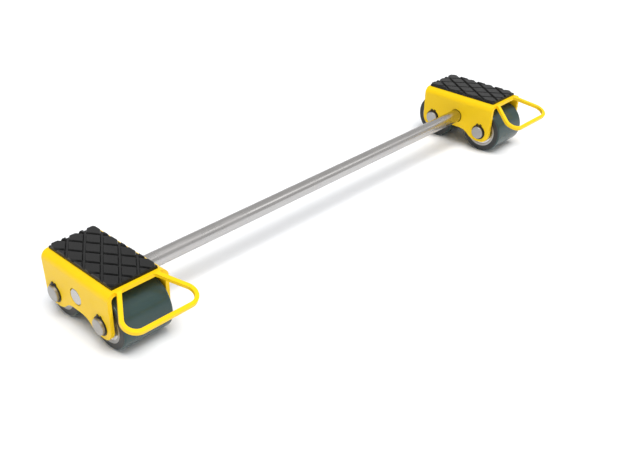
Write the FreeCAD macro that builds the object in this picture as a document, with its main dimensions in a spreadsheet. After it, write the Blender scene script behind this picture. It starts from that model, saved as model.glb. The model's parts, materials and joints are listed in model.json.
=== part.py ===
"""Machine skate: two roller cassettes that slide on one round connecting bar.

Millimetres. +X runs along the bar, +Z is up and the handles are at the front, towards -Y. The origin lies
on the floor under the middle of the whole skate. Every driving dimension is a cell of the sheet, and the
pieces are bound to those cells. The two cassettes are alike and are called left (-X) and right (+X).
"""
import FreeCAD
import Part
import Sketcher
import math
import operator
import os

DIMENSIONS = {
    # Connecting bar
    "bar_diameter": 25,
    "bar_length": 1000,
    "bar_chamfer": 1,
    "bar_rise": 19.5,            # bar axis above the axles
    "bar_hole_clearance": 1,     # all round, in the side plates
    "bar_slide_clearance": 0.1,  # all round, in the guide tube
    # Guide tube between the side plates
    "tube_wall": 2.4,
    "tread_gap": 2.7,            # guide tube to the treads
    # Rollers
    "roller_diameter": 85,
    "roller_width": 83,
    "shoulder_radius": 4,
    "core_wall": 5,              # core round the bearings
    "seat_shoulder": 3,          # step that the bearings butt against
    "core_chamfer": 1,
    # Ball bearings
    "bearing_width": 15,
    "bearing_recess": 1,         # bearing face below the roller's end
    "ball_diameter": 7.9,
    "ball_gap": 0.1,
    "race_web": 2.7,             # race under the ball groove
    "race_shoulder": 1.9,        # height of the race beside the ball groove
    "shield_gauge": 0.8,
    "shield_gap": 0.5,           # shield to the inner race
    "shield_recess": 0.4,        # shield below the bearing's face
    # Axles
    "axle_diameter": 25,
    "axle_overhang": 6,
    "axle_chamfer": 1,
    "sleeve_wall": 3.5,
    "sleeve_clearance": 0.1,
    # Circlips
    "clip_gauge": 1.2,
    "clip_play": 0.1,            # groove wider than the clip
    "clip_groove_depth": 0.6,
    "clip_width": 3,             # radial width of the ring
    "clip_lug_radius": 2.8,
    "clip_lug_spread": 3.4,      # each lug's centre from the clip's middle
    "clip_hole_radius": 1.1,
    "clip_slit": 1.6,
    # Frame
    "frame_gauge": 6,
    "bend_radius": 13,           # outside of the bend
    "side_gap": 2.5,             # roller end to the side plate
    "headroom": 12,              # roller to the deck's underside
    "lobe_wall": 7.5,            # side plate below the axle
    "lobe_flat": 8,
    "arch_rise": 17,
    "arch_flat": 20,
    "deck_lip": 2.5,             # deck's front edge beyond the side plates' lobes
    "axle_hole_clearance": 0.05,
    # Rubber pad
    "pad_thickness": 7,
    "pad_margin": 4,             # end of the side plates to the pad, at the front and rear
    "groove_pitch": 24.2,
    "groove_angle": 56,          # degrees from the bar
    "groove_width": 3.8,
    "groove_depth": 3,
    "pattern_shift": 1.2,        # pattern's middle from the pad's, along the bar and towards the other pad
    "pattern_setback": 1.8,      # pattern's middle from the pad's, towards the rear
    # Handle: a loop of the deck's own sheet, folded down at the front
    "handle_width": 6.2,
    "handle_inset": 19,          # leg at the fold, in from the frame's side
    "handle_splay": 21.4,        # handle's corner, out from the frame's side
    "handle_reach": 61,          # fold to the middle of the grip
    "handle_drop": 25.3,
    "handle_bend": 18,           # on the middle of the strip
    "fold_radius": 8,            # outside of the fold
    "root_fillet": 8,            # radius between the legs
    "root_fillet_depth": 0.3,    # the fillet would touch a line this far inside the deck's edge
    "root_flare": 4,             # radius outside the legs
    "root_flare_depth": 1.6,
    # Clamp under the guide tube
    "screw_diameter": 8,
    "screw_length": 16,
    "screw_tip": 1,
    "thread_clearance": 0.05,
    "head_across": 13,
    "head_height": 5.3,
    "boss_diameter": 18,
    "boss_length": 9,
    "pressure_length": 4,
    "pressure_gap": 0.05,
}
BALLS_PER_BEARING = 9
BEYOND = 1.25      # how many times the needed length a cutting tool has
SIDES = {"left": -1, "right": 1}
AXLES = {"front": -1, "rear": 1}

doc = FreeCAD.newDocument("MachineSkate")
sheet = doc.addObject("Spreadsheet::Sheet", "Sheet")
pieces = []


class Size:
    """A length with its number and the sheet formula that it comes from."""

    def __init__(self, number, formula):
        self.number = float(number)
        self.formula = formula

    def __add__(self, other):
        return combine(operator.add, self, "+", other)

    def __sub__(self, other):
        return combine(operator.sub, self, "-", other)

    def __mul__(self, other):
        return combine(operator.mul, self, "*", other)

    def __truediv__(self, other):
        return combine(operator.truediv, self, "/", other)

    def __neg__(self):
        return self * -1


def as_size(value):
    if isinstance(value, Size):
        return value
    return Size(value, "({:.9f})".format(value))


def combine(operation, first, sign, second):
    second = as_size(second)
    number = operation(first.number, second.number)
    return Size(number, "({} {} {})".format(first.formula, sign, second.formula))


def root(size):
    return Size(math.sqrt(size.number), "sqrt({})".format(size.formula))


def cosine(angle):
    return Size(math.cos(math.radians(angle.number)), "cos({} * 1 deg)".format(angle.formula))


def sine(angle):
    return Size(math.sin(math.radians(angle.number)), "sin({} * 1 deg)".format(angle.formula))


class Dimensions:
    """The sheet's cells by name, each as a Size."""

    def __init__(self, values):
        for row, (name, value) in enumerate(values.items(), start=1):
            sheet.set("A{}".format(row), name)
            sheet.set("B{}".format(row), str(value))
            sheet.setAlias("B{}".format(row), name)
            setattr(self, name, Size(value, "Sheet." + name))


dim = Dimensions(DIMENSIONS)
doc.recompute()
ZERO = as_size(0)

# Radial sizes from the axle outwards
axle_radius = dim.axle_diameter / 2
ball_radius = dim.ball_diameter / 2
groove_radius = ball_radius + dim.ball_gap
inner_shoulder = axle_radius + dim.race_web + dim.race_shoulder
pitch_radius = axle_radius + dim.race_web + groove_radius
bearing_radius = pitch_radius + groove_radius + dim.race_web
outer_shoulder = bearing_radius - dim.race_web - dim.race_shoulder
shield_radius = (outer_shoulder + bearing_radius) / 2
core_radius = bearing_radius + dim.core_wall
roller_radius = dim.roller_diameter / 2
sleeve_radius = axle_radius + dim.sleeve_clearance + dim.sleeve_wall
clip_radius = axle_radius - dim.clip_groove_depth
lobe_radius = axle_radius + dim.lobe_wall
bar_radius = dim.bar_diameter / 2
tube_bore = bar_radius + dim.bar_slide_clearance
tube_radius = tube_bore + dim.tube_wall

# Widths along the bar, from the roller outwards
roller_half = dim.roller_width / 2
inner_half = roller_half + dim.side_gap
frame_half = inner_half + dim.frame_gauge
axle_half = frame_half + dim.axle_overhang
bearing_out = roller_half - dim.bearing_recess
bearing_in = bearing_out - dim.bearing_width
pad_half_width = frame_half - dim.bend_radius
cassette_offset = dim.bar_length / 2 - frame_half

# Heights above the floor
axle_height = roller_radius
bar_height = axle_height + dim.bar_rise
lobe_bottom = axle_height - lobe_radius
arch_height = lobe_bottom + dim.arch_rise
deck_top = dim.roller_diameter + dim.headroom + dim.frame_gauge

# Lengths across the bar: the rollers leave the guide tube free between them
axle_to_bar = roller_radius + tube_radius + dim.tread_gap
half_wheelbase = root(axle_to_bar * axle_to_bar - dim.bar_rise * dim.bar_rise)
lobe_inside = half_wheelbase - dim.lobe_flat / 2
lobe_outside = half_wheelbase + dim.lobe_flat / 2
frame_front = lobe_outside + lobe_radius
pad_front = frame_front - dim.pad_margin
deck_front = frame_front + dim.deck_lip
handle_slope = root(dim.handle_reach * dim.handle_reach + dim.handle_drop * dim.handle_drop)
fold_run = dim.fold_radius * dim.handle_drop / (handle_slope + dim.handle_reach)
fold_front = deck_front + fold_run
front_reach = fold_front + dim.handle_reach + dim.handle_width / 2 * dim.handle_reach / handle_slope
rear_reach = half_wheelbase + roller_radius
bar_y = (front_reach - rear_reach) / 2


def bind(item, name, size):
    setattr(item, name, size.number)
    item.setExpression(name, size.formula)


def place(item, x, y, z):
    item.Placement.Base = FreeCAD.Vector(x.number, y.number, z.number)
    for letter, size in (("x", x), ("y", y), ("z", z)):
        item.setExpression("Placement.Base." + letter, size.formula)


def keep(item, label):
    """Makes an object one of the skate's pieces, written to a file of its own."""
    item.Label = label
    pieces.append(item)
    return item


def new_body(name):
    return doc.addObject("PartDesign::Body", name)


def new_sketch(body, role):
    """A sketch on one of the body's own planes, such as XZ_Plane."""
    sketch = body.newObject("Sketcher::SketchObject", body.Name + "_sketch")
    plane = [feature for feature in body.Origin.OriginFeatures if feature.Role == role][0]
    sketch.AttachmentSupport = [(plane, "")]
    sketch.MapMode = "FlatFace"
    return sketch


def hold(sketch, kind, element, end, size):
    """Holds one end of a sketch element at a distance from the sketch's origin."""
    if size.number == 0:
        axis = {"DistanceX": -2, "DistanceY": -1}[kind]
        sketch.addConstraint(Sketcher.Constraint("PointOnObject", element, end, axis))
        return
    constraint = Sketcher.Constraint(kind, -1, 1, element, end, size.number)
    index = sketch.addConstraint(constraint)
    sketch.setExpression("Constraints[{}]".format(index), size.formula)


def draw_circle(sketch, x, y, radius):
    centre = FreeCAD.Vector(x.number, y.number, 0)
    circle = Part.Circle(centre, FreeCAD.Vector(0, 0, 1), radius.number)
    element = sketch.addGeometry(circle, False)
    index = sketch.addConstraint(Sketcher.Constraint("Radius", element, radius.number))
    sketch.setExpression("Constraints[{}]".format(index), radius.formula)
    hold(sketch, "DistanceX", element, 3, x)
    hold(sketch, "DistanceY", element, 3, y)


def arc_between(start, end, radius, turn):
    """The shorter arc from start to end; turn is 1 for counter-clockwise and -1 for clockwise."""
    chord = end - start
    middle = (start + end) / 2
    rise = math.sqrt(max(radius ** 2 - (chord.Length / 2) ** 2, 0))
    normal = FreeCAD.Vector(-chord.y, chord.x, 0).normalize()
    centre = middle + normal * rise * turn
    first = math.atan2(start.y - centre.y, start.x - centre.x)
    last = math.atan2(end.y - centre.y, end.x - centre.x)
    if turn < 0:
        first, last = last, first
    circle = Part.Circle(centre, FreeCAD.Vector(0, 0, 1), radius)
    return Part.ArcOfCircle(circle, first, last)


def draw_path(sketch, points):
    """Joins points (x, y) by lines into a closed path. A point (x, y, radius, turn) is reached by an arc.

    The line or arc that reaches the first point closes the path.
    """
    spots = [FreeCAD.Vector(point[0].number, point[1].number, 0) for point in points]
    order = list(range(1, len(points))) + [0]
    ends = []
    for index in order:
        start, end = spots[index - 1], spots[index]
        if len(points[index]) == 2:
            element = sketch.addGeometry(Part.LineSegment(start, end), False)
            ends.append((element, 1, 2))
            continue
        radius, turn = points[index][2:]
        element = sketch.addGeometry(arc_between(start, end, radius.number, turn), False)
        ends.append((element, 1, 2) if turn > 0 else (element, 2, 1))
        number = sketch.addConstraint(Sketcher.Constraint("Radius", element, radius.number))
        sketch.setExpression("Constraints[{}]".format(number), radius.formula)
    for (before, _, before_end), (after, after_start, _) in zip(ends, ends[1:] + ends[:1]):
        sketch.addConstraint(Sketcher.Constraint("Coincident", before, before_end, after, after_start))
    for index, (element, _, end) in zip(order, ends):
        hold(sketch, "DistanceX", element, end, points[index][0])
        hold(sketch, "DistanceY", element, end, points[index][1])


def extrude(body, sketch, length, symmetric=False, cut=False, downwards=False):
    kind = "PartDesign::Pocket" if cut else "PartDesign::Pad"
    feature = body.newObject(kind, body.Name + ("_pocket" if cut else "_pad"))
    feature.Profile = sketch
    feature.Reversed = downwards
    if symmetric:
        feature.SideType = "Symmetric"
    bind(feature, "Length", length)
    sketch.Visibility = False
    return feature


def turn(body, sketch, axis, cut=False):
    kind = "PartDesign::Groove" if cut else "PartDesign::Revolution"
    feature = body.newObject(kind, body.Name + ("_groove" if cut else "_revolution"))
    feature.Profile = sketch
    feature.ReferenceAxis = (sketch, [axis])
    feature.Angle = 360
    return feature


def turned(name, profile, axis="H_Axis", ball_track=None):
    """A body turned from a half section. The section is drawn along the axis and outwards from it.

    H_Axis turns about X and V_Axis about Z. A ball track is a round groove (x, radius, groove radius).
    """
    body = new_body(name)
    sketch = new_sketch(body, "XZ_Plane")
    draw_path(sketch, profile)
    turn(body, sketch, axis)
    if ball_track:
        track = new_sketch(body, "XZ_Plane")
        draw_circle(track, *ball_track)
        turn(body, track, axis, cut=True)
    return body


def ring_section(start, end, inside, outside):
    return [(start, inside), (end, inside), (end, outside), (start, outside)]


def group(label, members):
    compound = doc.addObject("Part::Compound", label)
    compound.Links = members
    return keep(compound, label)


def boolean(kind, label, base, tool):
    feature = doc.addObject(kind, label)
    feature.Base = base
    feature.Tool = tool
    feature.Refine = True
    return feature


def make_bar():
    half = dim.bar_length / 2
    edge = half - dim.bar_chamfer
    rim = bar_radius - dim.bar_chamfer
    body = turned("connecting_bar", [
        (-half, ZERO),
        (half, ZERO),
        (half, rim),
        (edge, bar_radius),
        (-edge, bar_radius),
        (-half, rim),
    ])
    place(body, ZERO, bar_y, bar_height)
    keep(body, "connecting_bar")


def make_handle(name, x):
    """A strip of the deck's sheet, folded down at the deck's front edge and trimmed to the loop's outline."""
    reach, drop, slope = dim.handle_reach, dim.handle_drop, handle_slope
    gauge, fold = dim.frame_gauge, dim.fold_radius
    inner_fold = fold - gauge
    root_half = frame_half - dim.handle_inset
    corner_half = frame_half + dim.handle_splay
    fold_y = -fold * drop / slope
    fold_z = fold * reach / slope - fold
    end_y = fold_y - reach * BEYOND
    end_z = fold_z - drop * BEYOND
    strip = new_body(name + "_strip")
    section = new_sketch(strip, "YZ_Plane")
    draw_path(section, [
        (ZERO, ZERO),
        (fold_y, fold_z, fold, 1),
        (end_y, end_z),
        (end_y + gauge * drop / slope, end_z - gauge * reach / slope),
        (-inner_fold * drop / slope, inner_fold * reach / slope - fold),
        (ZERO, -gauge, inner_fold, -1),
    ])
    extrude(strip, section, corner_half * 2 * BEYOND, symmetric=True)
    place(strip, x, bar_y - deck_front, deck_top)

    half = dim.handle_width / 2
    widening = corner_half - root_half
    leg = root(widening * widening + slope * slope)
    half_x = half * slope / leg
    half_y = half * widening / leg
    tangent = dim.handle_bend * (leg + widening) / slope
    bend_x = corner_half - tangent * widening / leg
    bend_y = tangent * slope / leg - slope
    grip_x = corner_half - tangent
    outer_bend = dim.handle_bend + half
    inner_bend = dim.handle_bend - half
    deck_edge = fold_run * reach / slope
    fillet_line = deck_edge + dim.root_fillet_depth
    flare_line = deck_edge + dim.root_flare_depth
    back = (fillet_line + flare_line) * BEYOND
    fillet_run = dim.root_fillet * (leg - widening) / slope
    flare_run = dim.root_flare * (leg + widening) / slope
    inner_x = root_half - widening * fillet_line / slope - half * leg / slope
    outer_x = root_half - widening * flare_line / slope + half * leg / slope
    window_x = inner_x - fillet_run
    flare_x = outer_x + flare_run
    inner_leg_x = inner_x + fillet_run * widening / leg
    inner_leg_y = fillet_line - fillet_run * slope / leg
    outer_leg_x = outer_x + flare_run * widening / leg
    outer_leg_y = flare_line - flare_run * slope / leg
    loop = new_body(name + "_loop")
    outline = new_sketch(loop, "XY_Plane")
    draw_path(outline, [
        (flare_x, back),
        (flare_x, flare_line),
        (outer_leg_x, outer_leg_y, dim.root_flare, 1),
        (bend_x + half_x, bend_y + half_y),
        (grip_x, -slope - half, outer_bend, -1),
        (-grip_x, -slope - half),
        (-bend_x - half_x, bend_y + half_y, outer_bend, -1),
        (-outer_leg_x, outer_leg_y),
        (-flare_x, flare_line, dim.root_flare, 1),
        (-flare_x, back),
        (-window_x, back),
        (-window_x, fillet_line),
        (-inner_leg_x, inner_leg_y, dim.root_fillet, 1),
        (half_x - bend_x, bend_y - half_y),
        (-grip_x, half - slope, inner_bend, 1),
        (grip_x, half - slope),
        (bend_x - half_x, bend_y - half_y, inner_bend, 1),
        (inner_leg_x, inner_leg_y),
        (window_x, fillet_line, dim.root_fillet, 1),
        (window_x, back),
    ])
    extrude(loop, outline, gauge * 4, symmetric=True)
    tilt = math.degrees(math.atan2(drop.number, reach.number))
    loop.Placement.Rotation = FreeCAD.Rotation(FreeCAD.Vector(1, 0, 0), tilt)
    loop.setExpression("Placement.Rotation.Angle", "atan({})".format((drop / reach).formula))
    place(loop, x, bar_y - fold_front, deck_top)
    return boolean("Part::Common", name, strip, loop)


def make_frame(label, x):
    """A bent U with the handle in front, a lobe round each axle and an arch under the bar."""
    bend = dim.bend_radius
    inner_bend = bend - dim.frame_gauge
    deck_under = deck_top - dim.frame_gauge
    channel = new_body(label + "_channel")
    section = new_sketch(channel, "XZ_Plane")
    draw_path(section, [
        (-frame_half, lobe_bottom),
        (-frame_half, deck_top - bend),
        (bend - frame_half, deck_top, bend, -1),
        (frame_half - bend, deck_top),
        (frame_half, deck_top - bend, bend, -1),
        (frame_half, lobe_bottom),
        (inner_half, lobe_bottom),
        (inner_half, deck_top - bend),
        (frame_half - bend, deck_under, inner_bend, 1),
        (bend - frame_half, deck_under),
        (-inner_half, deck_top - bend, inner_bend, 1),
        (-inner_half, lobe_bottom),
    ])
    extrude(channel, section, deck_front * 2, symmetric=True)
    place(channel, x, bar_y, ZERO)

    arch_end = dim.arch_flat / 2
    run = lobe_inside - arch_end
    sweep_radius = (run * run + dim.arch_rise * dim.arch_rise) / (dim.arch_rise * 4)
    slope_y = (lobe_inside + arch_end) / 2
    slope_z = (lobe_bottom + arch_height) / 2
    outline = new_body(label + "_outline")
    side = new_sketch(outline, "YZ_Plane")
    draw_path(side, [
        (-deck_front, deck_top),
        (-deck_front, deck_top - bend),
        (-frame_front, axle_height),
        (-lobe_outside, lobe_bottom, lobe_radius, 1),
        (-lobe_inside, lobe_bottom),
        (-slope_y, slope_z, sweep_radius, 1),
        (-arch_end, arch_height, sweep_radius, -1),
        (arch_end, arch_height),
        (slope_y, slope_z, sweep_radius, -1),
        (lobe_inside, lobe_bottom, sweep_radius, 1),
        (lobe_outside, lobe_bottom),
        (frame_front, axle_height, lobe_radius, 1),
        (frame_front, deck_top),
    ])
    for way in AXLES.values():
        draw_circle(side, half_wheelbase * way, axle_height, axle_radius + dim.axle_hole_clearance)
    draw_circle(side, ZERO, bar_height, bar_radius + dim.bar_hole_clearance)
    extrude(outline, side, frame_half * 2, symmetric=True)
    place(outline, x, bar_y, ZERO)
    plates = boolean("Part::Common", label + "_plates", channel, outline)
    keep(boolean("Part::Fuse", label, plates, make_handle(label + "_handle", x)), label)


def make_pad(label, x, way):
    """A rubber mat of raised diamond blocks, left by two families of parallel grooves."""
    mat = doc.addObject("Part::Box", label + "_mat")
    bind(mat, "Length", pad_half_width * 2)
    bind(mat, "Width", pad_front * 2)
    bind(mat, "Height", dim.pad_thickness)
    place(mat, x - pad_half_width, bar_y - pad_front, deck_top)
    groove_length = (pad_half_width + pad_front) * 2
    across, along = sine(dim.groove_angle), cosine(dim.groove_angle)
    reach = pad_half_width * across + pad_front * along
    pattern_x = x - dim.pattern_shift * way
    pattern_y = bar_y + dim.pattern_setback
    steps = int(reach.number / dim.groove_pitch.number)
    grooves = []
    for lean in (1, -1):
        for step in range(-steps, steps + 1):
            groove = doc.addObject("Part::Box", label + "_groove")
            bind(groove, "Length", groove_length)
            bind(groove, "Width", dim.groove_width)
            bind(groove, "Height", dim.groove_depth * BEYOND)
            groove.Placement.Rotation = FreeCAD.Rotation(FreeCAD.Vector(0, 0, lean), dim.groove_angle.number)
            groove.setExpression("Placement.Rotation.Angle", dim.groove_angle.formula)
            middle = dim.groove_pitch * step - dim.groove_width / 2
            groove_x = pattern_x - groove_length / 2 * along - middle * across * lean
            groove_y = pattern_y - groove_length / 2 * across * lean + middle * along
            place(groove, groove_x, groove_y, deck_top + dim.pad_thickness - dim.groove_depth)
            grooves.append(groove)
    cutter = doc.addObject("Part::MultiFuse", label + "_grooves")
    cutter.Shapes = grooves
    keep(boolean("Part::Cut", label, mat, cutter), label)


def make_guide_tube(label, x):
    body = turned(label, ring_section(-inner_half, inner_half, tube_bore, tube_radius))
    drill = new_sketch(body, "XY_Plane")
    draw_circle(drill, ZERO, ZERO, dim.screw_diameter / 2 + dim.thread_clearance)
    extrude(body, drill, tube_radius * BEYOND, cut=True)
    place(body, x, bar_y, bar_height)
    keep(body, label)


def make_clamp(side, x):
    """Threaded boss under the guide tube, a screw from below and the pressure piece on its tip."""
    screw_radius = dim.screw_diameter / 2
    boss_depth = tube_radius + dim.boss_length
    boss = new_body(side + "_clamp_boss")
    ring = new_sketch(boss, "XY_Plane")
    draw_circle(ring, ZERO, ZERO, dim.boss_diameter / 2)
    draw_circle(ring, ZERO, ZERO, screw_radius + dim.thread_clearance)
    extrude(boss, ring, boss_depth, downwards=True)
    saddle = new_sketch(boss, "YZ_Plane")
    draw_circle(saddle, ZERO, ZERO, tube_radius)
    extrude(boss, saddle, dim.boss_diameter * BEYOND, symmetric=True, cut=True)
    place(boss, x, bar_y, bar_height)
    keep(boss, side + "_clamp_boss")

    pressure_top = bar_height - bar_radius - dim.pressure_gap
    tip = screw_radius - dim.screw_tip
    pressure = turned(side + "_clamp_pressure_piece", [
        (ZERO, -dim.pressure_length),
        (screw_radius, -dim.pressure_length),
        (screw_radius, -dim.screw_tip),
        (tip, ZERO),
        (ZERO, ZERO),
    ], axis="V_Axis")
    place(pressure, x, bar_y, pressure_top)
    keep(pressure, side + "_clamp_pressure_piece")

    screw = turned(side + "_clamp_screw", [
        (ZERO, -dim.screw_length),
        (screw_radius, -dim.screw_length),
        (screw_radius, -dim.screw_tip),
        (tip, ZERO),
        (ZERO, ZERO),
    ], axis="V_Axis")
    head = new_sketch(screw, "XY_Plane")
    head.AttachmentOffset.Base = FreeCAD.Vector(0, 0, -dim.screw_length.number)
    head.setExpression("AttachmentOffset.Base.z", (-dim.screw_length).formula)
    corner = dim.head_across / math.sqrt(3)
    angles = [math.radians(60 * index + 30) for index in range(6)]
    draw_path(head, [(corner * round(math.cos(angle), 9), corner * math.sin(angle)) for angle in angles])
    extrude(screw, head, dim.head_height, downwards=True)
    place(screw, x, bar_y, pressure_top - dim.pressure_length)
    keep(screw, side + "_clamp_screw")


def make_axle(label, x, y):
    groove_start = frame_half
    groove_end = frame_half + dim.clip_gauge + dim.clip_play
    rim = axle_radius - dim.axle_chamfer
    half = [
        (groove_start, axle_radius),
        (groove_start, clip_radius),
        (groove_end, clip_radius),
        (groove_end, axle_radius),
        (axle_half - dim.axle_chamfer, axle_radius),
        (axle_half, rim),
        (axle_half, ZERO),
    ]
    other_half = [(-along, radius) for along, radius in reversed(half)]
    body = turned(label, half + other_half)
    place(body, x, y, axle_height)
    keep(body, label)


def make_clip(name, x, y, outwards):
    """A ring with a slit at the top and a drilled lug on each side of the slit."""
    body = new_body(name)
    inside = clip_radius
    lug_height = inside + dim.clip_lug_radius
    lugs = (-dim.clip_lug_spread, dim.clip_lug_spread)
    ring = new_sketch(body, "YZ_Plane")
    draw_circle(ring, ZERO, ZERO, inside + dim.clip_width)
    extrude(body, ring, dim.clip_gauge)
    ears = new_sketch(body, "YZ_Plane")
    for lug in lugs:
        draw_circle(ears, lug, lug_height, dim.clip_lug_radius)
    extrude(body, ears, dim.clip_gauge)
    bore = new_sketch(body, "YZ_Plane")
    draw_circle(bore, ZERO, ZERO, inside)
    extrude(body, bore, dim.clip_gauge * BEYOND, cut=True, downwards=True)
    slit = new_sketch(body, "YZ_Plane")
    slit_half = dim.clip_slit / 2
    slit_top = (lug_height + dim.clip_lug_radius) * BEYOND
    draw_path(slit, [(-slit_half, ZERO), (slit_half, ZERO), (slit_half, slit_top), (-slit_half, slit_top)])
    extrude(body, slit, dim.clip_gauge * BEYOND, cut=True, downwards=True)
    holes = new_sketch(body, "YZ_Plane")
    for lug in lugs:
        draw_circle(holes, lug, lug_height, dim.clip_hole_radius)
    extrude(body, holes, dim.clip_gauge * BEYOND, cut=True, downwards=True)
    inner_face = frame_half if outwards > 0 else -frame_half - dim.clip_gauge
    place(body, x + inner_face, y, axle_height)
    return body


def make_roller(label, x, y):
    """A steel core with a bearing in each end, and a polyurethane tread with rounded shoulders."""
    seat = bearing_radius
    step = bearing_radius - dim.seat_shoulder
    edge = roller_half - dim.core_chamfer
    core = turned(label + "_core", [
        (-roller_half, seat + dim.core_chamfer),
        (-edge, seat),
        (-bearing_in, seat),
        (-bearing_in, step),
        (bearing_in, step),
        (bearing_in, seat),
        (edge, seat),
        (roller_half, seat + dim.core_chamfer),
        (roller_half, core_radius),
        (-roller_half, core_radius),
    ])
    place(core, x, y, axle_height)
    keep(core, label + "_core")

    shoulder = dim.shoulder_radius
    tread = turned(label + "_tread", [
        (-roller_half, core_radius),
        (roller_half, core_radius),
        (roller_half, roller_radius - shoulder),
        (roller_half - shoulder, roller_radius, shoulder, 1),
        (shoulder - roller_half, roller_radius),
        (-roller_half, roller_radius - shoulder, shoulder, 1),
    ])
    place(tread, x, y, axle_height)
    keep(tread, label + "_tread")


def make_bearings(label, x, y):
    """The two ball bearings of one roller, with the sleeve and washers that space their inner races."""
    middle = (bearing_in + bearing_out) / 2
    half_width = dim.bearing_width / 2
    shield_out = half_width - dim.shield_recess
    shield_in = shield_out - dim.shield_gauge
    inner_races, outer_races, shields, balls = [], [], [], []
    for way in (-1, 1):
        centre_x = x + middle * way
        inner = turned(
            label + "_inner_race",
            ring_section(-half_width, half_width, axle_radius, inner_shoulder),
            ball_track=(ZERO, pitch_radius, groove_radius),
        )
        outer = turned(label + "_outer_race", [
            (-half_width, shield_radius),
            (-shield_in, shield_radius),
            (-shield_in, outer_shoulder),
            (shield_in, outer_shoulder),
            (shield_in, shield_radius),
            (half_width, shield_radius),
            (half_width, bearing_radius),
            (-half_width, bearing_radius),
        ], ball_track=(ZERO, pitch_radius, groove_radius))
        inner_races.append(inner)
        outer_races.append(outer)
        for face in (-1, 1):
            shield_section = ring_section(
                shield_in * face, shield_out * face, inner_shoulder + dim.shield_gap, shield_radius)
            shields.append(turned(label + "_shield", shield_section))
        for part in (inner, outer, *shields[-2:]):
            place(part, centre_x, y, axle_height)
        for index in range(BALLS_PER_BEARING):
            angle = 2 * math.pi * index / BALLS_PER_BEARING
            ball = doc.addObject("Part::Sphere", label + "_ball")
            bind(ball, "Radius", ball_radius)
            ball_y = y + pitch_radius * math.cos(angle)
            ball_z = axle_height + pitch_radius * math.sin(angle)
            place(ball, centre_x, ball_y, ball_z)
            balls.append(ball)
    group(label + "_bearing_inner_races", inner_races)
    group(label + "_bearing_outer_races", outer_races)
    group(label + "_bearing_shields", shields)
    group(label + "_bearing_balls", balls)

    sleeve_bore = axle_radius + dim.sleeve_clearance
    sleeve_section = ring_section(-bearing_in, bearing_in, sleeve_bore, sleeve_radius)
    sleeve = turned(label + "_spacer_sleeve", sleeve_section)
    place(sleeve, x, y, axle_height)
    keep(sleeve, label + "_spacer_sleeve")
    washers = []
    for way in (-1, 1):
        washer_section = ring_section(bearing_out * way, inner_half * way, sleeve_bore, sleeve_radius)
        washer = turned(label + "_washer", washer_section)
        place(washer, x, y, axle_height)
        washers.append(washer)
    group(label + "_end_washers", washers)


def make_cassette(side, way):
    x = cassette_offset * way
    make_frame(side + "_frame", x)
    make_pad(side + "_pad", x, way)
    make_guide_tube(side + "_guide_tube", x)
    make_clamp(side, x)
    clips = []
    for axle, axle_way in AXLES.items():
        y = bar_y + half_wheelbase * axle_way
        make_axle("{}_{}_axle".format(side, axle), x, y)
        make_roller("{}_{}_roller".format(side, axle), x, y)
        make_bearings("{}_{}_roller".format(side, axle), x, y)
        for outwards in (-1, 1):
            clips.append(make_clip("{}_{}_clip".format(side, axle), x, y, outwards))
    group(side + "_axle_circlips", clips)


def check_model():
    """Stops with a plain message if any object failed or any piece isn't a sound solid."""
    for item in doc.Objects:
        if "Invalid" in item.State or "Error" in item.State:
            raise RuntimeError("{} did not recompute: {}".format(item.Label, item.State))
    for item in doc.Objects:
        if item.isDerivedFrom("PartDesign::Feature") and item.BaseFeature is not None:
            if abs(item.Shape.Volume - item.BaseFeature.Shape.Volume) < 1e-3:
                raise RuntimeError("{} changes nothing".format(item.Label))
    for piece in pieces:
        if piece.Shape.isNull() or not piece.Shape.isValid() or not piece.Shape.Solids:
            raise RuntimeError("{} is not a valid solid".format(piece.Label))


def main():
    make_bar()
    for side, way in SIDES.items():
        make_cassette(side, way)
    doc.recompute()
    check_model()
    os.makedirs("parts", exist_ok=True)
    for piece in pieces:
        piece.Shape.exportStep("parts/{}.step".format(piece.Label))
    print("{} pieces written".format(len(pieces)))


main()
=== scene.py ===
"""Looks of a machine skate: two roller cassettes on a connecting bar, seen from the front left.

Metres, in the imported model's own frame: +X along the bar, +Z up, handles towards -Y.
"""
import itertools
import json
import math

import bmesh
import bpy
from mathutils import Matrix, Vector


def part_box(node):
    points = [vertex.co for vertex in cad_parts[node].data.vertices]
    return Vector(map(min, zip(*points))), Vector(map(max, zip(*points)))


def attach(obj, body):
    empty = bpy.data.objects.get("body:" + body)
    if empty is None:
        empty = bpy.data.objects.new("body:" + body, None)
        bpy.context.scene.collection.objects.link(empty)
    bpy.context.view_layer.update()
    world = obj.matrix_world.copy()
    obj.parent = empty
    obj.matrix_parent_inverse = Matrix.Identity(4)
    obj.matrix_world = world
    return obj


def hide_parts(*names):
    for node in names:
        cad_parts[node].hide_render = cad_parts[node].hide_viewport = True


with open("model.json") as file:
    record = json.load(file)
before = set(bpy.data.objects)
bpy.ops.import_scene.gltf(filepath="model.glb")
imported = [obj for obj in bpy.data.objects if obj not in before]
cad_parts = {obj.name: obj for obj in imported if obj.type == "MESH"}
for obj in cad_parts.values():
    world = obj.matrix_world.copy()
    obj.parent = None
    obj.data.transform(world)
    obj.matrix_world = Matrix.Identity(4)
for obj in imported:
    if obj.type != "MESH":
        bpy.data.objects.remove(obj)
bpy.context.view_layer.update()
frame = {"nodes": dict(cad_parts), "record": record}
SIDES = {"left": -1, "right": 1}

# Camera, fitted to the photograph
IMAGE_WIDTH = 625
FOCAL_PIXELS = 825.48
SENSOR = 36.0
CAMERA_PLACE = (-0.94955, -0.86091, 0.71902)
CAMERA_YAW = math.radians(-46.1864)
CAMERA_PITCH = math.radians(30.6863)
NEAREST_SEEN = 0.05
FARTHEST_SEEN = 100

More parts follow.
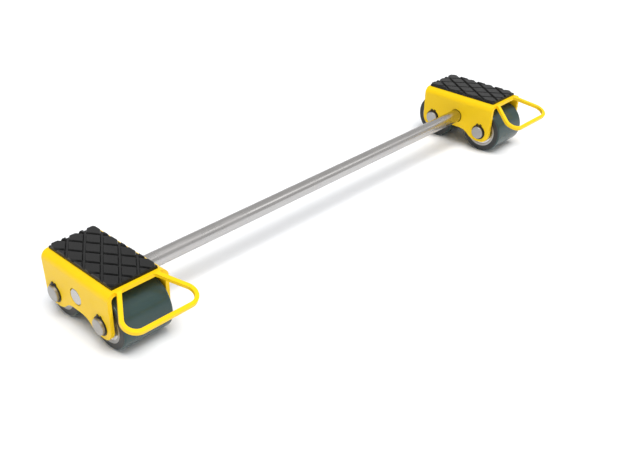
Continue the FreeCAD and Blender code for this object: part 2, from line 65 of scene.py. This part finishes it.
# Carried-over nodes, by material slot: edges that turn by more than EDGE_ANGLE are rounded
EDGE_WIDTHS = {"frame_paint": 0.0008, "axle_steel": 0.0003, "core_steel": 0.0003, "clip_steel": 0.0002}
EDGE_ANGLE = math.radians(40)
EDGE_SEGMENTS = 3
EVEN_SHADING = ("tread_polyurethane", "bar_steel")

# Rubber pad: the lattice of grooves, and how far the pad spreads past its node on both long sides
GROOVE_PITCH = 0.0242
GROOVE_ANGLE = math.radians(56)
GROOVE_WIDTH = 0.0028
GROOVE_DEPTH = 0.003
PATTERN_SHIFT = 0.0012
PATTERN_SETBACK = 0.0018
PAD_SPREAD = 0.0008

# Rubber pad: sides, rims and corners of the blocks. The pad's own edge has OUTER_SHARE of the draft
BLOCK_DRAFT = 0.001
BLOCK_ROUNDING = 0.0007
OUTER_SHARE = 0.4
RIM_STEPS = 4
CORNER_ROUNDING = 0.0013
CORNER_STEPS = 5
CORNER_LIMIT = 0.45
SMALLEST_BLOCK = 8e-6

# Clamp screw: the shank's length is in shank radii, the head's end face and flare in half widths
SHANK_LENGTH = 4
THREAD_PITCH = 0.00125
THREAD_DEPTH = 0.0007
THREAD_RUNOUT = 0.0015
RINGS_PER_PITCH = 8
HEAD_CHAMFER = 0.0012
HEAD_FACE = 0.94
HEAD_FLARE = 0.25
CHAMFER_STEPS = 4
TURN_STEPS = 72

# Weld beads: radii, and how far a bead's middle stands off its corner, in radii
TUBE_BEAD = 0.0016
BOSS_BEAD = 0.0014
BEAD_OFFSET = 0.25
BEAD_STEPS = 120
BEAD_SIDES = 10
BEAD_RIPPLES = 30
RIPPLE_HEIGHT = 0.1

# Studio: mirrors show the world as white at the horizon and as CEILING from HORIZON upwards
FLOOR_HALF = 30
FLOOR_COLOUR = (0.97, 0.98, 0.998)
WORLD_LIGHT = 0.22
CEILING = 0.64
HORIZON = 0.15


def corners(node):
    """A node's lowest and highest corner and its middle."""
    low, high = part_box(node)
    return low, high, (low + high) / 2


def turn(steps):
    """Angles spread evenly over one whole turn."""
    return [math.tau * step / steps for step in range(steps)]


def scaled(colour, factor):
    """A colour made darker or lighter."""
    return tuple(factor * part for part in colour)


class Nodes:
    """A node tree that is built up node by node."""

    def __init__(self, tree):
        self.tree = tree

    def node(self, kind, **inputs):
        """Adds a node. Its inputs are given by name, with _ for a space."""
        made = self.tree.nodes.new("ShaderNode" + kind)
        for name, value in inputs.items():
            self.feed(made.inputs[name.replace("_", " ")], value)
        return made

    def feed(self, socket, value):
        """Links a socket to another one, or sets it to a plain value."""
        if isinstance(value, bpy.types.NodeSocket):
            self.tree.links.new(value, socket)
        else:
            socket.default_value = value

    def math(self, operation, first, second=0.0):
        made = self.tree.nodes.new("ShaderNodeMath")
        made.operation = operation
        self.feed(made.inputs[0], first)
        self.feed(made.inputs[1], second)
        return made.outputs[0]

    def between(self, value, low, high, start=0.0, end=1.0):
        """Goes from low to high as the value goes from start to end."""
        made = self.node("MapRange", Value=value, From_Min=start, From_Max=end, To_Min=low, To_Max=high)
        return made.outputs["Result"]

    def ray(self, kind):
        return self.node("LightPath").outputs["Is %s Ray" % kind]


class Shader(Nodes):
    """A principled material."""

    def __init__(self, name, colour, roughness, metallic=0.0, **more):
        self.material = bpy.data.materials.new(name)
        self.material.use_nodes = True
        super().__init__(self.material.node_tree)
        self.principled = self.tree.nodes["Principled BSDF"]
        self.drive("Base Color", (*colour, 1.0))
        self.drive("Roughness", roughness)
        self.drive("Metallic", metallic)
        for socket, value in more.items():
            self.drive(socket.replace("_", " "), value)

    def drive(self, socket, value, *stops):
        """Feeds a socket of the shader, through a ramp where stops are given."""
        self.feed(self.principled.inputs[socket], self.ramp(value, stops) if stops else value)

    def ramp(self, value, stops):
        """Maps 0 to 1 through (position, colour or grey) stops."""
        made = self.node("ValToRGB", Fac=value)
        while len(made.color_ramp.elements) < len(stops):
            made.color_ramp.elements.new(1.0)
        for element, (position, shade) in zip(made.color_ramp.elements, stops):
            element.position = position
            element.color = (*shade, 1.0) if isinstance(shade, tuple) else (shade, shade, shade, 1.0)
        return made.outputs["Color"]

    def place(self, scale=(1, 1, 1), kind="Object", offset=(0, 0, 0)):
        """Texture coordinates, scaled and then moved."""
        source = self.node("TexCoord").outputs[kind]
        return self.node("Mapping", Vector=source, Scale=scale, Location=offset).outputs[0]

    def noise(self, scale, detail, rough=0.5, vector=None):
        """Cloudy values between 0 and 1."""
        made = self.node("TexNoise", Scale=scale, Detail=detail, Roughness=rough)
        self.feed(made.inputs["Vector"], vector or self.place())
        return made.outputs["Fac"]

    def bump(self, height, distance, strength):
        """Shades the surface as if it were raised by a height from 0 to 1 times the distance."""
        made = self.node("Bump", Height=height, Distance=distance, Strength=strength)
        self.drive("Normal", made.outputs[0])


def frame_paint():
    """Yellow powder coat: a fine orange peel, with slightly uneven colour and gloss."""
    shader = Shader("yellow_powder_coat", (0.94, 0.61, 0.005), 0.37, Specular_IOR_Level=0.2)
    cloud = shader.noise(scale=22, detail=4)
    shader.drive("Base Color", cloud, (0.3, (0.925, 0.595, 0.004)), (0.7, (0.955, 0.625, 0.006)))
    shader.drive("Roughness", shader.noise(scale=60, detail=5), (0.3, 0.32), (0.7, 0.42))
    shader.bump(shader.noise(scale=900, detail=2), distance=0.00006, strength=0.5)
    return shader.material


def pad_rubber():
    """Black moulded rubber: a fine grain, with slightly uneven colour and gloss."""
    shader = Shader("black_rubber", (0.005, 0.005, 0.005), 0.35, Specular_IOR_Level=0.32)
    shader.drive("Base Color", shader.noise(scale=35, detail=5), (0.3, 0.004), (0.75, 0.007))
    shader.drive("Roughness", shader.noise(scale=140, detail=4), (0.3, 0.28), (0.7, 0.4))
    shader.bump(shader.noise(scale=1400, detail=3), distance=0.0001, strength=0.6)
    return shader.material


def tread_polyurethane():
    """Dark green-grey polyurethane: satin with faint turning lines, and duller and greyer on its ends."""
    shader = Shader("dark_polyurethane", (0.031, 0.059, 0.057), 0.18, Specular_IOR_Level=0.38)
    heading = shader.node("SeparateXYZ", Vector=shader.node("TexCoord").outputs["Normal"])
    sideways = shader.math("MULTIPLY", heading.outputs["X"], heading.outputs["X"])
    end_face = shader.between(sideways, 0.0, 1.0, start=0.4, end=0.9)
    cloud = shader.math("MULTIPLY", shader.noise(scale=18, detail=5), 0.5)
    rolling = (0.15, (0.028, 0.055, 0.053)), (0.38, (0.036, 0.064, 0.062))
    ends = (0.9, (0.023, 0.025, 0.026))
    shader.drive("Base Color", shader.math("MAXIMUM", cloud, end_face), *rolling, ends)
    skin = shader.math("MULTIPLY", shader.noise(scale=70, detail=4), 0.5)
    gloss = shader.math("MAXIMUM", skin, end_face)
    shader.drive("Roughness", gloss, (0.15, 0.14), (0.35, 0.22), (0.9, 0.45))
    lines = shader.noise(scale=1, detail=2, vector=shader.place((600, 12, 12)))
    shader.bump(lines, distance=0.00004, strength=0.3)
    return shader.material


def streaked_metal(name, colour, rough, streaks):
    """Bright metal with fine streaks. The streaks' scale along each axis sets the way they run."""
    shader = Shader(name, colour, rough, metallic=1.0)
    lines = shader.noise(scale=1, detail=4, rough=0.6, vector=shader.place(streaks))
    shader.drive("Base Color", lines, (0.25, scaled(colour, 0.88)), (0.75, scaled(colour, 1.08)))
    shader.drive("Roughness", shader.noise(scale=25, detail=5), (0.3, rough - 0.05), (0.7, rough + 0.08))
    shader.bump(lines, distance=0.00002, strength=0.15)
    return shader.material


def turned_steel(name, colour, rough, rings):
    """Steel turned on a lathe: fine rings round the piece's own X axis."""
    shader = Shader(name, colour, rough, metallic=1.0)
    centred = shader.place(offset=(0.0, -0.5, -0.5), kind="Generated")
    split = shader.node("SeparateXYZ", Vector=centred)
    squares = [shader.math("MULTIPLY", split.outputs[axis], split.outputs[axis]) for axis in ("Y", "Z")]
    radius = shader.math("SQRT", shader.math("ADD", *squares))
    ring = shader.node("CombineXYZ", X=radius, Y=split.outputs["X"])
    lines = shader.noise(scale=rings, detail=3, rough=0.6, vector=ring.outputs[0])
    shader.drive("Base Color", lines, (0.3, scaled(colour, 0.9)), (0.7, scaled(colour, 1.06)))
    shader.drive("Roughness", shader.noise(scale=40, detail=4), (0.3, rough - 0.04), (0.7, rough + 0.08))
    shader.bump(lines, distance=0.00003, strength=0.4)
    return shader.material


def black_spring_steel():
    """Blackened spring steel: a mottled, half-matt skin."""
    shader = Shader("black_spring_steel", (0.010, 0.009, 0.008), 0.45, Specular_IOR_Level=0.25)
    mottle = shader.noise(scale=300, detail=4)
    shader.drive("Base Color", mottle, (0.3, (0.006, 0.0055, 0.005)), (0.75, (0.016, 0.0145, 0.013)))
    shader.drive("Roughness", mottle, (0.3, 0.34), (0.7, 0.5))
    shader.bump(shader.noise(scale=1800, detail=3), distance=0.00004, strength=0.5)
    return shader.material


MATERIALS = {
    "frame_paint": frame_paint(),
    "pad_rubber": pad_rubber(),
    "tread_polyurethane": tread_polyurethane(),
    "bar_steel": streaked_metal("drawn_bar_steel", (0.5, 0.487, 0.477), 0.25, streaks=(14, 900, 900)),
    "axle_steel": turned_steel("turned_axle_steel", (0.38, 0.371, 0.36), 0.36, rings=90),
    "core_steel": turned_steel("turned_core_steel", (0.37, 0.362, 0.352), 0.38, rings=120),
    "clip_steel": black_spring_steel(),
    "bearing_steel": turned_steel("ground_bearing_steel", (0.62, 0.62, 0.63), 0.2, rings=160),
    "shield_steel": turned_steel("pressed_shield_steel", (0.5, 0.5, 0.51), 0.32, rings=60),
    "screw_steel": streaked_metal("zinc_plated_steel", (0.56, 0.55, 0.49), 0.35, streaks=(300, 300, 300)),
    "pressure_brass": streaked_metal("turned_brass", (0.66, 0.48, 0.2), 0.3, streaks=(400, 400, 400)),
}


def finish_node(node, slot):
    """Gives a node its slot's material, and rounded edges or even shading where the slot has them."""
    item = frame["nodes"][node]
    item.data.materials.clear()
    item.data.materials.append(MATERIALS[slot])
    if slot in EDGE_WIDTHS:
        rounding = item.modifiers.new("rounded_edges", "BEVEL")
        rounding.width = EDGE_WIDTHS[slot]
        rounding.segments = EDGE_SEGMENTS
        rounding.limit_method = "ANGLE"
        rounding.angle_limit = EDGE_ANGLE
        rounding.harden_normals = False
    if slot in EVEN_SHADING:
        item.modifiers.new("even_shading", "WEIGHTED_NORMAL")


for row in frame["record"]["subparts"]:
    finish_node(row["node"], row["material_slot"])


def link_object(name, data):
    """Makes an object of a mesh, camera or lamp and puts it into the scene."""
    made = bpy.data.objects.new(name, data)
    bpy.context.scene.collection.objects.link(made)
    return made


def make_mesh(name, shape, material):
    """Makes a mesh of a bmesh, which is used up, and gives it a material."""
    mesh = bpy.data.meshes.new(name)
    shape.to_mesh(mesh)
    shape.free()
    mesh.materials.append(material)
    return mesh


def add_piece(name, shape, body, slot):
    """Makes an object of a bmesh, with its material, and lets it ride on a body."""
    piece = link_object(name, make_mesh(name, shape, MATERIALS[slot]))
    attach(piece, body)
    return piece


def loft(shape, rings, closed=False):
    """Skins rings of equally many points. The last joins the first, or else both ends get a face."""
    made = [[shape.verts.new(point) for point in ring] for ring in rings]
    count = len(made[0])
    following = made[1:] + made[:1] if closed else made[1:]
    for low, high in zip(made, following):
        for index in range(count):
            after = (index + 1) % count
            shape.faces.new((low[index], low[after], high[after], high[index]))
    if not closed:
        shape.faces.new(list(reversed(made[0])))
        shape.faces.new(made[-1])


def clip_polygon(polygon, point, normal):
    """The part of a convex polygon on the side of a line that the normal points away from."""
    kept = []
    for start, end in zip(polygon, polygon[1:] + polygon[:1]):
        depth_start = (start - point).dot(normal)
        depth_end = (end - point).dot(normal)
        if depth_start <= 0:
            kept.append(start)
        if depth_start * depth_end < 0:
            kept.append(start.lerp(end, depth_start / (depth_start - depth_end)))
    return kept


def polygon_area(polygon):
    """Area of a polygon whose corners run anticlockwise."""
    pairs = zip(polygon, polygon[1:] + polygon[:1])
    return 0.5 * sum(a.x * b.y - a.y * b.x for a, b in pairs)


def rectangle(half_width, half_length):
    """Corners of a rectangle about the origin, anticlockwise."""
    return [Vector((x * half_width, y * half_length)) for x, y in ((-1, -1), (1, -1), (1, 1), (-1, 1))]


def rounded(polygon):
    """A convex polygon with an arc at each corner, always of the same number of points."""
    result = []
    for before, corner, after in zip(polygon[-1:] + polygon, polygon, polygon[1:] + polygon[:1]):
        shorter = min((before - corner).length, (after - corner).length)
        cut = min(CORNER_ROUNDING, CORNER_LIMIT * shorter)
        start = corner + (before - corner).normalized() * cut
        end = corner + (after - corner).normalized() * cut
        for step in range(CORNER_STEPS + 1):
            share = step / CORNER_STEPS
            result.append(start.lerp(corner, share).lerp(corner.lerp(end, share), share))
    return result


def block_outline(cell, half_width, half_length, shift, inset):
    """A raised block: a diamond between the grooves, cut off at the pad's edge, with its sides moved in."""
    outline = rectangle(half_width - inset * OUTER_SHARE, half_length - inset * OUTER_SHARE)
    gap = GROOVE_WIDTH / 2 + inset
    for lean, step in zip((1, -1), cell):
        normal = Vector((-math.sin(GROOVE_ANGLE) * lean, math.cos(GROOVE_ANGLE)))
        outline = clip_polygon(outline, shift + normal * (step * GROOVE_PITCH + gap), -normal)
        outline = clip_polygon(outline, shift + normal * ((step + 1) * GROOVE_PITCH - gap), normal)
    return outline


def block_levels(groove_floor, top):
    """How far a block's sides are moved in at each height, from its foot up to its rounded rim."""
    levels = [(0.0, groove_floor - BLOCK_ROUNDING), (0.0, groove_floor)]
    for step in range(RIM_STEPS + 1):
        angle = math.pi / 2 * step / RIM_STEPS
        inset = BLOCK_DRAFT + BLOCK_ROUNDING * (1 - math.cos(angle))
        levels.append((inset, top - BLOCK_ROUNDING * (1 - math.sin(angle))))
    return levels


def make_pad(side, way):
    """Rubber pad: a flat mat with a raised block in each whole or cut diamond between the grooves."""
    low, high, middle = corners(side + "_pad")
    half_width = (high.x - low.x) / 2 + PAD_SPREAD
    half_length = (high.y - low.y) / 2
    shift = Vector((-PATTERN_SHIFT * way, PATTERN_SETBACK))
    groove_floor = high.z - GROOVE_DEPTH
    levels = block_levels(groove_floor, high.z)
    reach = half_width * math.sin(GROOVE_ANGLE) + half_length * math.cos(GROOVE_ANGLE)
    steps = math.ceil(reach / GROOVE_PITCH) + 1

    def lifted(outline, z):
        return [(middle.x + point.x, middle.y + point.y, z) for point in outline]

    shape = bmesh.new()
    mat = rectangle(half_width, half_length)
    loft(shape, [lifted(mat, z) for z in (low.z, groove_floor)])
    for cell in itertools.product(range(-steps, steps), repeat=2):
        outlines = [block_outline(cell, half_width, half_length, shift, inset) for inset, _ in levels]
        # Slivers at the pad's edge, and those that lose a corner on the way up, get no block
        if len({len(outline) for outline in outlines}) > 1 or len(outlines[0]) < 3:
            continue
        if polygon_area(outlines[-1]) < SMALLEST_BLOCK:
            continue
        loft(shape, [lifted(rounded(outline), z) for outline, (_, z) in zip(outlines, levels)])
    pad = add_piece(side + "_rubber_pad", shape, side + "_cassette", "pad_rubber")
    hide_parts(side + "_pad")


def screw_ring(middle, z, radius):
    """A ring round an upright axis, whose radius depends on the angle."""
    ring = []
    for a in turn(TURN_STEPS):
        ring.append((middle.x + radius(a) * math.cos(a), middle.y + radius(a) * math.sin(a), z))
    return ring


def make_clamp_screw(side):
    """Hexagon screw, head down: a chamfered head, a right-hand thread and a plain tip."""
    node = side + "_clamp_screw"
    low, high, middle = corners(node)
    half_flats = (high.x - low.x) / 2
    tip_low, tip_high, _ = corners(side + "_clamp_pressure_piece")
    shank = (tip_high.x - tip_low.x) / 2
    head_top = high.z - SHANK_LENGTH * shank

    def hexagon(angle):
        return half_flats / math.cos((angle + math.pi / 6) % (math.pi / 3) - math.pi / 6)

    def chamfered(height):
        reach = half_flats * (HEAD_FACE + HEAD_FLARE * height / HEAD_CHAMFER)
        return lambda angle: min(hexagon(angle), reach)

    def threaded(z):
        runout = min(1.0, (z - head_top) / THREAD_RUNOUT, (high.z - z) / THREAD_RUNOUT)

        def radius(angle):
            phase = (z / THREAD_PITCH - angle / math.tau) % 1.0
            return shank - THREAD_DEPTH * (1 - runout * abs(2 * phase - 1))
        return radius

    rings = []
    for step in range(CHAMFER_STEPS + 1):
        height = HEAD_CHAMFER * step / CHAMFER_STEPS
        rings.append(screw_ring(middle, low.z + height, chamfered(height)))
    rings.append(screw_ring(middle, head_top, hexagon))
    count = round((high.z - head_top) / THREAD_PITCH * RINGS_PER_PITCH)
    for step in range(count + 1):
        z = head_top + (high.z - head_top) * step / count
        rings.append(screw_ring(middle, z, threaded(z)))
    shape = bmesh.new()
    loft(shape, rings)
    screw = add_piece(side + "_hexagon_screw", shape, node, "screw_steel")
    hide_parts(node)


def make_bead(name, side, path, radius):
    """A rippled weld bead along a closed path of points."""
    rings = []
    for index, point in enumerate(path):
        along = (path[(index + 1) % len(path)] - path[index - 1]).normalized()
        if index == 0:
            first = along.orthogonal().normalized()
        else:
            first = (first - along * first.dot(along)).normalized()
        second = along.cross(first)
        size = radius * (1 + RIPPLE_HEIGHT * math.cos(math.tau * BEAD_RIPPLES * index / len(path)))
        spokes = [first * math.cos(a) + second * math.sin(a) for a in turn(BEAD_SIDES)]
        rings.append([point + spoke * size for spoke in spokes])
    shape = bmesh.new()
    loft(shape, rings, closed=True)
    for face in shape.faces:
        face.smooth = True
    add_piece(name, shape, side + "_cassette", "frame_paint")


def make_welds(side):
    """Beads round both ends of the guide tube and round the clamp boss."""
    low, high, tube = corners(side + "_guide_tube")
    tube_radius = (high.z - low.z) / 2
    offset = TUBE_BEAD * BEAD_OFFSET
    reach = tube_radius + offset
    for end, x in (("low", low.x + offset), ("high", high.x - offset)):
        path = []
        for a in turn(BEAD_STEPS):
            path.append(Vector((x, tube.y + reach * math.sin(a), tube.z + reach * math.cos(a))))
        make_bead("%s_tube_weld_%s" % (side, end), side, path, TUBE_BEAD)

    boss_low, boss_high, boss = corners(side + "_clamp_boss")
    offset = BOSS_BEAD * BEAD_OFFSET
    reach = (boss_high.x - boss_low.x) / 2 + offset
    path = []
    for a in turn(BEAD_STEPS):
        aside = reach * math.sin(a)
        drop = math.sqrt(tube_radius ** 2 - aside ** 2) + offset
        path.append(Vector((boss.x + reach * math.cos(a), boss.y + aside, tube.z - drop)))
    make_bead(side + "_boss_weld", side, path, BOSS_BEAD)


for side, way in SIDES.items():
    make_pad(side, way)
    make_clamp_screw(side)
    make_welds(side)


def make_camera():
    """The photograph's camera."""
    data = bpy.data.cameras.new("camera")
    data.sensor_fit = "HORIZONTAL"
    data.sensor_width = SENSOR
    data.lens = FOCAL_PIXELS / IMAGE_WIDTH * SENSOR
    data.clip_start = NEAREST_SEEN
    data.clip_end = FARTHEST_SEEN
    camera = link_object("camera", data)
    level = math.cos(CAMERA_PITCH)
    ahead = Vector((-math.sin(CAMERA_YAW) * level, math.cos(CAMERA_YAW) * level, -math.sin(CAMERA_PITCH)))
    camera.location = CAMERA_PLACE
    camera.rotation_mode = "QUATERNION"
    camera.rotation_quaternion = ahead.to_track_quat("-Z", "Y")
    bpy.context.scene.camera = camera


def make_floor():
    """A plain floor in a faintly cool white."""
    shape = bmesh.new()
    bmesh.ops.create_grid(shape, x_segments=1, y_segments=1, size=FLOOR_HALF)
    paint = Shader("white_floor", FLOOR_COLOUR, 0.95, Specular_IOR_Level=0.0)
    paint.drive("Roughness", paint.noise(scale=3, detail=3), (0.3, 0.9), (0.7, 1.0))
    floor = link_object("floor", make_mesh("floor", shape, paint.material))


def add_sun(name, energy, spread, heading, mirrored=True):
    """A lamp that shines along a heading, as wide as the spread in degrees."""
    data = bpy.data.lights.new(name, "SUN")
    data.energy = energy
    data.angle = math.radians(spread)
    lamp = link_object(name, data)
    lamp.rotation_mode = "QUATERNION"
    lamp.rotation_quaternion = Vector(heading).to_track_quat("-Z", "Y")
    lamp.visible_glossy = mirrored


def make_light():
    """A soft lamp overhead, broad ones on the left and in front, and a faint one for glints."""
    add_sun("key", energy=2.5, spread=46, heading=(0.12, 0.17, -1.0))
    add_sun("fill", energy=0.48, spread=110, heading=(0.75, 0.35, -0.5))
    add_sun("front", energy=1.1, spread=100, heading=(-0.3, 0.85, -0.42), mirrored=False)
    add_sun("glint", energy=0.1, spread=20, heading=(-0.62, 0.42, -0.67))


def make_world():
    """White to the camera, from white to grey overhead in mirrors, and dimmer as light on the skate."""
    world = bpy.data.worlds.new("studio")
    bpy.context.scene.world = world
    world.use_nodes = True
    nodes = Nodes(world.node_tree)
    heading = nodes.node("SeparateXYZ", Vector=nodes.node("TexCoord").outputs["Generated"])
    mirrored = nodes.between(heading.outputs["Z"], 1.0, CEILING, end=HORIZON)
    mirror = nodes.math("MAXIMUM", nodes.ray("Glossy"), nodes.ray("Transmission"))
    unseen = nodes.between(mirror, WORLD_LIGHT, mirrored)
    background = world.node_tree.nodes["Background"]
    background.inputs["Color"].default_value = (1, 1, 1, 1)
    nodes.feed(background.inputs["Strength"], nodes.between(nodes.ray("Camera"), unseen, 1.0))


make_camera()
make_floor()
make_light()
make_world()
bpy.context.scene.view_settings.view_transform = "Standard"
